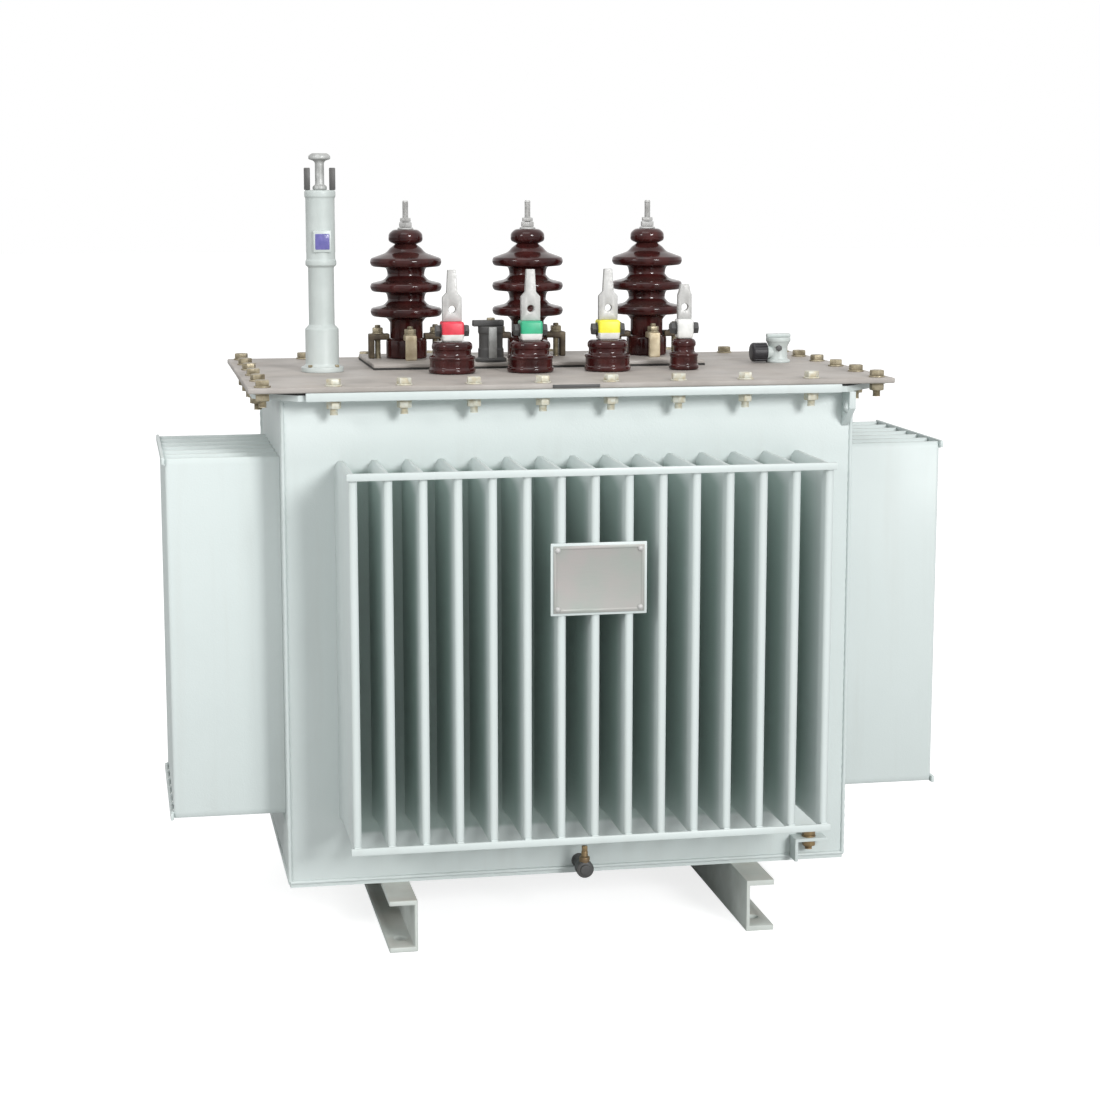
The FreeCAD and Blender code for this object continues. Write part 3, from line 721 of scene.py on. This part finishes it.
def glazed(name, dark, warm, roughness):
    """Fired glaze: dark body colour, warmer where it thins, with a deep wet gloss."""
    material, tree, surface, place = new_finish(name)
    pooled = noise(tree, place, 42.0, 3.0, 0.35, 0.70)
    speck = noise(tree, place, 900.0, 1.0, 0.68, 0.80)
    film = shared(tree, settled_dust, place, Amount=0.10)
    colour = blended(tree, pooled, (*dark, 1), (*warm, 1))
    colour = blended(tree, times(tree, speck, 0.4), colour, (0.16, 0.08, 0.05, 1))
    colour = blended(tree, film.outputs["Dust"], colour, (0.30, 0.25, 0.22, 1))
    tree.links.new(colour, surface.inputs["Base Color"])
    dulled = maths(tree, "MAXIMUM", film.outputs["Dust"], roughness)
    tree.links.new(dulled, surface.inputs["Roughness"])
    bumped(tree, surface, noise(tree, place, 70.0, 2.0, 0.2, 0.8), 0.12, 0.001)
    surface.inputs["Coat Weight"].default_value = 0.12
    surface.inputs["Coat Roughness"].default_value = 0.06
    surface.inputs["Specular IOR Level"].default_value = 0.3
    return material


def foot_of(name):
    """Middle of the foot of a CAD node."""
    low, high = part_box(name)
    return Vector(((low.x + high.x) / 2, (low.y + high.y) / 2, low.z))


brown_glaze = glazed("brown_glaze", (0.026, 0.005, 0.005), (0.060, 0.012, 0.011), 0.13)
hv_low, hv_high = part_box("hv_bushing_a")
hv_tall = hv_high.z - hv_low.z
outline = rounded([(0, 0), (HV_FOOT_R, 0), (HV_FOOT_R, HV_FOOT), (HV_WAIST_R, HV_FOOT + 0.003)],
                  0.003)
for i in range(3):
    level = HV_FIRST + i * HV_STEP
    top_r = HV_CORE_R if i < 2 else HV_NECK_R + 0.009
    top_z = level + (0.017 if i < 2 else 0.021)
    start_r = HV_WAIST_R if i == 0 else HV_CORE_R
    outline += rounded([(start_r, level - 0.014), (HV_CORE_R + 0.002, level - 0.006),
                        (HV_SHED_R - 0.003, level - 0.004), (HV_SHED_R, level + 0.002),
                        (HV_SHED_R - 0.001, level + 0.009), (top_r + 0.006, top_z - 0.003),
                        (top_r, top_z + 0.004)], 0.005)
outline += rounded([(HV_NECK_R, HV_FIRST + 2 * HV_STEP + 0.032), (HV_NECK_R, hv_tall - 0.024),
                    (HV_CAP_R, hv_tall - 0.019), (HV_CAP_R, hv_tall - 0.007),
                    (HV_CAP_R - 0.008, hv_tall), (0, hv_tall)], 0.004)
hv_places = {}
for phase in "abc":
    hv_places[phase] = foot_of("hv_bushing_" + phase)
    bushing = lathe("hv_porcelain_" + phase, outline, hv_places[phase], 64)
    fitted(coated(bushing, brown_glaze), "brown_glaze", "hv_bushing_" + phase)

# ---- high-voltage claws --------------------------------------------
# Four cast claws hold each porcelain's foot.  Each sits on a stud with a washer and a nut; the
# castings are dull olive brown, the front one paler, and the studs and nuts are plated.
CLAW_R = 0.047
CLAW_TIP = 0.0283
CLAW_END = 0.062
CLAW_HALF = 0.009
CLAW_RISE = 0.010
CLAW_LEG = 0.009             # width of the outer leg
CLAW_WASHER = 0.0018
olive_cast = plated("olive_cast", (0.105, 0.080, 0.048), (0.055, 0.040, 0.026), 0.50, 0.35,
                    grain=260.0, stains=70.0, dusty=0.5)
pale_cast = plated("pale_cast", (0.66, 0.58, 0.42), (0.44, 0.36, 0.23), 0.42, 0.35, grain=260.0,
                   stains=60.0)
for phase, spot in hv_places.items():
    claws, fixings = [], []
    for i in range(4):
        claw = box("claw", (CLAW_TIP, -CLAW_HALF, HV_FOOT), (CLAW_END, CLAW_HALF, HV_FOOT + CLAW_RISE))
        edit(claw, "FACE")
        cut((CLAW_END - CLAW_LEG, 0, 0), (1, 0, 0))
        pick("faces", lambda face: face.normal.z < -0.9 and face.calc_center_median().x >
             CLAW_END - CLAW_LEG)
        bpy.ops.mesh.extrude_region_move(TRANSFORM_OT_translate={"value": (0, 0, -HV_FOOT)})
        softened(claw, 0.002, 3)
        stud = threaded("stud", (CLAW_R, 0, 0), 0.005, 0.054)
        under = washer("claw_washer", (CLAW_R, 0, HV_FOOT + CLAW_RISE), 0.0095, CLAW_WASHER)
        nut = hexagon("claw_nut", (CLAW_R, 0, HV_FOOT + CLAW_RISE + CLAW_WASHER), 0.016, 0.008)
        move = Matrix.Translation(spot) @ Matrix.Rotation(i * math.pi / 2, 4, "Z")
        for part in (claw, stud, under, nut):
            part.data.transform(move)
        claws.append(coated(claw, pale_cast if i == 3 else olive_cast))
        fixings += [coated(part, yellow_zinc) for part in (stud, under, nut)]
    fitted(joined("hv_claw_set_" + phase, claws + fixings), "yellow_zinc", "hv_claws_" + phase)

# ---- high-voltage terminals ----------------------------------------
# Tinned copper studs that come up through the porcelain, each with a cup washer and two nuts,
# and threaded to the tip for the line's lug.
tinned = plated("tinned", (0.50, 0.50, 0.49), (0.40, 0.40, 0.39), 0.48, 0.3, grain=500.0,
                stains=50.0, dusty=0.1)
ends = []
for phase, spot in hv_places.items():
    base = spot + up(hv_tall)
    cup = lathe("cup_washer", rounded([(0, 0), (0.0135, 0), (0.012, 0.003), (0, 0.0035)], 0.0012),
                base, 32)
    lower = hexagon("lower_nut", base + up(0.0035), 0.019, 0.008)
    upper = hexagon("upper_nut", base + up(0.0122), 0.016, 0.006)
    ends += [cup, lower, upper, threaded("terminal_stud", base, 0.005, 0.046)]
fitted(coated(joined("hv_stud_ends", ends), tinned), "tinned_metal", "hv_terminals")

# ---- low-voltage bushings ------------------------------------------
# Squat brown porcelain drums, stepped in two tiers, with a rolled bead at the foot and the rim.
# The neutral's is narrower.
for phase in "abcn":
    low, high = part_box("lv_bushing_" + phase)
    wide, tall = (high.x - low.x) / 2, high.z - low.z
    drum = rounded([(0, 0), (wide - 0.003, 0), (wide, 0.002), (wide, 0.007), (wide - 0.002, 0.009),
                    (wide - 0.002, 0.021), (wide - 0.0005, 0.023), (wide - 0.001, 0.026),
                    (wide - 0.007, 0.028), (wide - 0.007, tall - 0.013), (wide - 0.005, tall - 0.011),
                    (wide - 0.005, tall - 0.004), (wide - 0.009, tall), (0, tall)], 0.003)
    bushing = lathe("lv_porcelain_" + phase, drum, foot_of("lv_bushing_" + phase), 56)
    fitted(coated(bushing, brown_glaze), "brown_glaze", "lv_bushing_" + phase)

# ---- low-voltage clamp blocks --------------------------------------
# Moulded insulators round the studs, coloured for each phase, and a dark bolt head on each
# side.  A white band round the lower part of each is a painted highlight.
HIGHLIGHT_SHARE = 0.36             # white lower part of the block's height, a painted highlight below its colour


def moulded(name, main, shade, roughness=0.34):
    """Moulded plastic: even colour with faint flow marks and a fine grain."""
    material, tree, surface, place = new_finish(name)
    flow = noise(tree, place, 85.0, 3.0, 0.35, 0.70)
    tree.links.new(blended(tree, flow, (*main, 1), (*shade, 1)), surface.inputs["Base Color"])
    skin = noise(tree, place, 1500.0, 1.0, 0.3, 0.7)
    gloss = ramp(tree, skin, 0.0, 1.0, roughness, roughness + 0.12)
    tree.links.new(gloss, surface.inputs["Roughness"])
    bumped(tree, surface, skin, 0.1, 0.0002)
    return material


painted_highlight_white = moulded("painted_highlight_white", (0.78, 0.78, 0.76), (0.66, 0.66, 0.63))
phases = {"a": ("phase_red", (0.72, 0.035, 0.07), (0.58, 0.03, 0.05)),
          "b": ("phase_green", (0.03, 0.42, 0.22), (0.02, 0.33, 0.17)),
          "c": ("phase_yellow", (0.86, 0.80, 0.05), (0.74, 0.66, 0.04)),
          "n": ("neutral_white", (0.80, 0.80, 0.78), (0.62, 0.63, 0.61))}
for phase, (slot, main, shade) in phases.items():
    low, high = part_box("lv_block_" + phase)
    split = low.z + HIGHLIGHT_SHARE * (high.z - low.z)
    block = box("lv_clamp_" + phase, low, high)
    edit(block, "FACE")
    cut((0, 0, split), (0, 0, 1))
    pick("verts", lambda vert: vert.co.z < split - 1e-4)
    bpy.ops.transform.resize(value=(0.93, 0.93, 1), center_override=(low + high) / 2)
    softened(block, 0.0035, 3)
    # White lower band as a painted highlight, phase colour above it.
    block.data.materials.append(painted_highlight_white)
    block.data.materials.append(moulded(slot, main, shade))
    for face in block.data.polygons:
        face.material_index = 1 if face.center.z > split else 0
    fitted(block, slot, "lv_block_" + phase)
    heads = []
    for side in (-1, 1):
        head = joined("side_bolt", [hexagon("side_head", (0, 0, 0.002), 0.017, 0.0075),
                                    washer("side_washer", (0, 0, 0), 0.0105, 0.002)])
        reach = (high.x - low.x) / 2 - 0.0005
        head.data.transform(Matrix.Translation((low + high) / 2 + Vector((side * reach, 0, 0.001)))
                            @ Matrix.Rotation(side * math.pi / 2, 4, "Y"))
        heads.append(head)
    fitted(coated(joined("lv_side_bolts_" + phase, heads), dark_paint), "dark_fitting")

# ---- low-voltage terminals -----------------------------------------
# Flat tinned bars, drilled for the cable lug, that stand in the clamp blocks and narrow to a
# tongue.
refined("lv_terminals", "lv_flags", 0.0012, tinned, "tinned_metal")

# ---- filler and level pipe -----------------------------------------
# Steel tube on a bolted foot flange, with a sleeve welded round its lower end and a wider head
# that holds the float gauge.  A small blank blue window faces forwards, and two dark posts
# guard the breather stem and its knob.
pale_pipe = enamel("pale_pipe", (0.53, 0.58, 0.565), (0.43, 0.48, 0.465), (0.42, 0.41, 0.38), 0.36,
                   cloud=0.6, dusty=0.4, cloud_scale=22.0)
pipe_low, pipe_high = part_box("filler_pipe")
pipe_at = foot_of("filler_pipe")
FOOT_R, FOOT = (pipe_high.x - pipe_low.x) / 2, 0.008
SLEEVE_R, SLEEVE = 0.026, 0.062
TUBE_R, TUBE = 0.020, 0.095
HEAD_R = 0.024
PANE_LEFT, PANE_RIGHT = pipe_at.x - 0.011, pipe_at.x + 0.012
PANE_LOW, PANE_HIGH = 1.032, 1.057
PANE_RIM = 0.0025            # frame seen on each side of the pane
FOOT_BOLT_LINE = 0.0292      # bolts' distance from the pipe's axis
sleeve_top = FOOT + SLEEVE
tube_top = sleeve_top + TUBE
pipe_tall = pipe_high.z - pipe_low.z
outline = rounded([(0, 0), (FOOT_R, 0), (FOOT_R, FOOT), (SLEEVE_R + 0.004, FOOT),
                   (SLEEVE_R, FOOT + 0.004), (SLEEVE_R, sleeve_top - 0.003),
                   (TUBE_R + 0.003, sleeve_top), (TUBE_R, sleeve_top + 0.003),
                   (TUBE_R, tube_top - 0.003), (HEAD_R, tube_top),
                   (HEAD_R, tube_top + 0.007), (HEAD_R - 0.0015, tube_top + 0.009),
                   (HEAD_R - 0.0015, pipe_tall - 0.012), (HEAD_R, pipe_tall - 0.010),
                   (HEAD_R, pipe_tall - 0.002), (HEAD_R - 0.002, pipe_tall), (0, pipe_tall)], 0.0015, 3)
pipe = lathe("filler_tube", outline, pipe_at, 56)
fitted(coated(pipe, pale_pipe), "pipe_paint", "filler_pipe")

window_blue = moulded("window_blue", (0.10, 0.10, 0.30), (0.17, 0.15, 0.42), 0.12)
pane = softened(box("level_pane", (PANE_LEFT, pipe_at.y - HEAD_R - 0.0015, PANE_LOW),
                    (PANE_RIGHT, pipe_at.y - HEAD_R + 0.010, PANE_HIGH)), 0.0018, 3)
fitted(coated(pane, window_blue), "pipe_paint")
pane_frame = box("level_frame",
                 (PANE_LEFT - PANE_RIM, pipe_at.y - HEAD_R - 0.0008, PANE_LOW - 0.004),
                 (PANE_RIGHT + PANE_RIM, pipe_at.y - HEAD_R + 0.012, PANE_HIGH + 0.005))
fitted(coated(softened(pane_frame, 0.0015), pale_pipe), "pipe_paint")

refined("filler_posts", "breather_posts", 0.0012, dark_paint, "dark_fitting")
grey_cast = plated("grey_cast", (0.48, 0.49, 0.48), (0.34, 0.35, 0.34), 0.46, 0.3, grain=300.0,
                   stains=80.0, dusty=0.4)
cap_low, cap_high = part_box("filler_cap")
KNOB_R, KNOB = 0.017, 0.011
stem_tall = cap_high.z - cap_low.z
outline = rounded([(0, 0), (0.011, 0), (0.011, 0.006), (0.007, 0.008), (0.007, stem_tall - KNOB - 0.003),
                   (0.010, stem_tall - KNOB), (KNOB_R, stem_tall - KNOB + 0.002),
                   (KNOB_R, stem_tall - 0.004), (0.012, stem_tall), (0, stem_tall)], 0.002)
breather = lathe("breather_knob", outline, pipe_at + up(pipe_tall), 40)
fitted(coated(breather, grey_cast), "pipe_paint", "filler_cap")
foot_bolts = []
for i in range(4):
    turn = math.pi / 4 + i * math.pi / 2
    out = Vector((math.cos(turn), math.sin(turn), 0)) * FOOT_BOLT_LINE
    foot_bolts.append(hexagon("foot_bolt", pipe_at + out + up(FOOT), 0.0065, 0.004))
fitted(coated(joined("filler_foot_bolts", foot_bolts), yellow_zinc), "yellow_zinc")

# ---- tap changer ---------------------------------------------------
# Off-load tap switch in a dark cast housing on its own flange, with a paler cover strip on its
# front and a locking bar across its top.
TAP_FOOT_R, TAP_R = 0.025, 0.0205
TAP_FOOT, TAP_TALL = 0.005, 0.056
tap_low, tap_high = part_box("tap_changer")
tap_at = Vector((tap_high.x - TAP_FOOT_R, (tap_low.y + tap_high.y) / 2, tap_low.z))
outline = rounded([(0, 0), (TAP_FOOT_R, 0), (TAP_FOOT_R, TAP_FOOT), (TAP_R, TAP_FOOT + 0.002),
                   (TAP_R, 0.020), (TAP_R - 0.0015, 0.022), (TAP_R - 0.0015, 0.044),
                   (TAP_R, 0.046), (TAP_R, TAP_TALL), (0, TAP_TALL)], 0.0012, 3)
housing = coated(lathe("tap_housing", outline, tap_at, 40), dark_paint)
strip = coated(softened(box("tap_strip", tap_at + Vector((-0.0065, -TAP_R - 0.002, 0.006)),
                            tap_at + Vector((0.0065, -TAP_R + 0.010, TAP_TALL))), 0.0015), grey_cast)
bar = coated(softened(box("tap_bar", (tap_low.x, tap_at.y - 0.007, tap_at.z + TAP_TALL),
                          (tap_at.x + TAP_R, tap_at.y + 0.007, tap_high.z)), 0.0018, 3), dark_paint)
bar_nut = coated(hexagon("tap_nut", tap_at + up(TAP_TALL + 0.0095), 0.012, 0.004),
                 yellow_zinc)
fitted(joined("tap_switch", [housing, strip, bar, bar_nut]), "dark_fitting", "tap_changer")

# ---- relief valve --------------------------------------------------
# Pale cast body with a spring inside, a flat bar across its top and a black plastic cap on its
# side outlet.
RELIEF_R, RELIEF = 0.020, 0.041
relief_low, relief_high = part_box("relief_valve")
relief_at = Vector((relief_high.x - RELIEF_R, (relief_low.y + relief_high.y) / 2, relief_low.z))
outline = rounded([(0, 0), (RELIEF_R, 0), (RELIEF_R, 0.004), (0.0155, 0.006), (0.0145, 0.024),
                   (0.0185, 0.033), (RELIEF_R, 0.035), (RELIEF_R, RELIEF - 0.001),
                   (RELIEF_R - 0.001, RELIEF), (0, RELIEF)], 0.0015, 3)
body = coated(lathe("relief_body", outline, relief_at, 40), pale_pipe)
top_bar = coated(softened(box("relief_bar", relief_at + Vector((-0.020, -0.005, RELIEF)),
                              (relief_high.x, relief_at.y + 0.005, relief_high.z)), 0.0015),
                 pale_pipe)
outlet_low, outlet_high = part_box("relief_cap")
outlet_z = (outlet_low.z + outlet_high.z) / 2
sideways = Matrix.Translation((outlet_high.x, relief_at.y, outlet_z)) @ \
    Matrix.Rotation(-math.pi / 2, 4, "Y")
neck = coated(lathe("relief_neck", rounded([(0, -0.012), (0.0105, -0.012), (0.0105, -0.002),
                                            (0.0125, -0.001), (0.0125, 0.001), (0, 0.001)],
                                           0.001, 2), (0, 0, 0), 32), pale_pipe)
neck.data.transform(sideways)
plug = hexagon("relief_plug", (0, 0, 0), 0.009, 0.0035)
plug.data.transform(Matrix.Translation(relief_at + Vector((-0.003, -0.0145, 0.024))) @
                    Matrix.Rotation(math.pi / 2, 4, "X"))
fitted(joined("relief_valve_body", [body, top_bar, neck, coated(plug, dark_paint)]),
       "pipe_paint", "relief_valve")

cap_r, cap_long = (outlet_high.z - outlet_low.z) / 2, outlet_high.x - outlet_low.x
cap = lathe("relief_outlet_cap", rounded([(0, 0), (cap_r, 0), (cap_r, cap_long - 0.003),
                                          (cap_r - 0.003, cap_long), (0, cap_long)], 0.0015, 3),
            (0, 0, 0), 36)
edit(cap, "FACE")
pick("faces", lambda face: abs(face.normal.z) < 0.1 and
     round(math.degrees(math.atan2(face.normal.y, face.normal.x)) / 10 - 0.5) % 2 == 0)
bpy.ops.mesh.inset(thickness=0.0004, depth=-0.0008)
smooth(cap, 30)
cap.data.transform(sideways)
black_mould = moulded("black_mould", (0.016, 0.015, 0.018), (0.030, 0.028, 0.032), 0.42)
fitted(coated(cap, black_mould), "dark_fitting", "relief_cap")

# ---- nameplate -----------------------------------------------------
# Satin aluminium plate, left blank, with a raised rim.  Four small screws hold it to a painted
# bracket that is welded to the noses of the middle fins.
PLATE_RIM = 0.004
SCREW_IN = 0.006             # screws' distance in from the plate's edges
bracket = softened(box("plate_bracket", *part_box("nameplate_bracket")), 0.001)
fitted(coated(bracket, tank_enamel), "bracket_paint", "nameplate_bracket")
face_low, face_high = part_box("nameplate")
satin_plate = plated("satin_plate", (0.36, 0.335, 0.325), (0.315, 0.34, 0.315), 0.42, 0.2,
                     stretch=(0.06, 1.0, 1.0), grain=900.0, stains=18.0, dusty=0.0)
plate = box("blank_plate", face_low, face_high)
edit(plate, "FACE")
pick("faces", lambda face: face.normal.y < -0.9)
bpy.ops.mesh.inset(thickness=PLATE_RIM)
bpy.ops.mesh.inset(thickness=0.0012, depth=-0.0009)
softened(plate, 0.0004)
fitted(coated(plate, satin_plate), "plate_metal", "nameplate")
screws = []
for x in (face_low.x + SCREW_IN, face_high.x - SCREW_IN):
    for z in (face_low.z + SCREW_IN, face_high.z - SCREW_IN):
        screw = lathe("screw", rounded([(0, -0.001), (0.0042, -0.001), (0.0042, 0.0012),
                                        (0.002, 0.0026), (0, 0.0028)], 0.001, 3), (0, 0, 0), 20)
        screw.data.transform(Matrix.Translation((x, face_low.y, z)) @
                             Matrix.Rotation(math.pi / 2, 4, "X"))
        screws.append(screw)
fitted(coated(joined("plate_screws", screws), tinned), "tinned_metal")

# ---- drain valve ---------------------------------------------------
# Small stop valve low on the front wall: a short welded pipe, a dark cast body with a plugged
# mouth, and an upright brass stem with a square key end.
DRAIN_R, DRAIN_BODY = 0.0135, 0.022
drain_low, drain_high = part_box("drain_valve")
drain_x = (drain_low.x + drain_high.x) / 2
drain_z = drain_low.z + DRAIN_R
reach = drain_high.y - drain_low.y
outline = rounded([(0, 0), (0.012, 0), (0.0085, 0.004), (0.0085, reach - DRAIN_BODY - 0.002),
                   (DRAIN_R, reach - DRAIN_BODY), (DRAIN_R, reach - 0.005),
                   (DRAIN_R - 0.003, reach - 0.003), (0.008, reach - 0.003), (0.008, reach),
                   (0, reach)], 0.0012, 3)
valve = coated(lathe("drain_body", outline, (0, 0, 0), 36), dark_paint)
valve.data.transform(Matrix.Translation((drain_x, drain_high.y, drain_z)) @
                     Matrix.Rotation(math.pi / 2, 4, "X"))
brass = plated("old_brass", (0.34, 0.24, 0.12), (0.20, 0.14, 0.08), 0.40, 0.6, dusty=0.3)
stem_y = drain_low.y + DRAIN_BODY / 2
stem_high = drain_high.z - drain_z
stem = coated(lathe("drain_stem", rounded([(0, 0), (0.008, 0.010), (0.008, 0.019), (0.005, 0.020),
                                           (0.005, stem_high - 0.008), (0, stem_high - 0.008)],
                                          0.001, 2), (drain_x, stem_y, drain_z), 24), brass)
key = coated(softened(box("drain_key", (drain_x - 0.004, stem_y - 0.004, drain_high.z - 0.0085),
                          (drain_x + 0.004, stem_y + 0.004, drain_high.z)), 0.001), brass)
fitted(joined("drain_stop_valve", [valve, stem, key]), "dark_fitting", "drain_valve")

# ---- earth terminal ------------------------------------------------
# Painted steel shelf welded low on the front wall and drilled for a brass-plated bolt, which
# clamps the earth lead.
refined("earth_terminal", "earth_shelf", 0.001, tank_enamel, "tank_paint")
EARTH_ACROSS = 0.018
earth_at = foot_of("earth_terminal")
earth_at.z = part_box("earth_terminal")[1].z
earth_bolt = joined("earth_bolt", [
    washer("earth_washer", earth_at, 0.011, 0.002),
    hexagon("earth_head", earth_at + up(0.002), EARTH_ACROSS, 0.008),
    threaded("earth_thread", earth_at - up(0.020), 0.0058, 0.022),
    hexagon("earth_nut", earth_at - up(0.015), EARTH_ACROSS, 0.009)])
fitted(coated(earth_bolt, brass), "yellow_zinc")
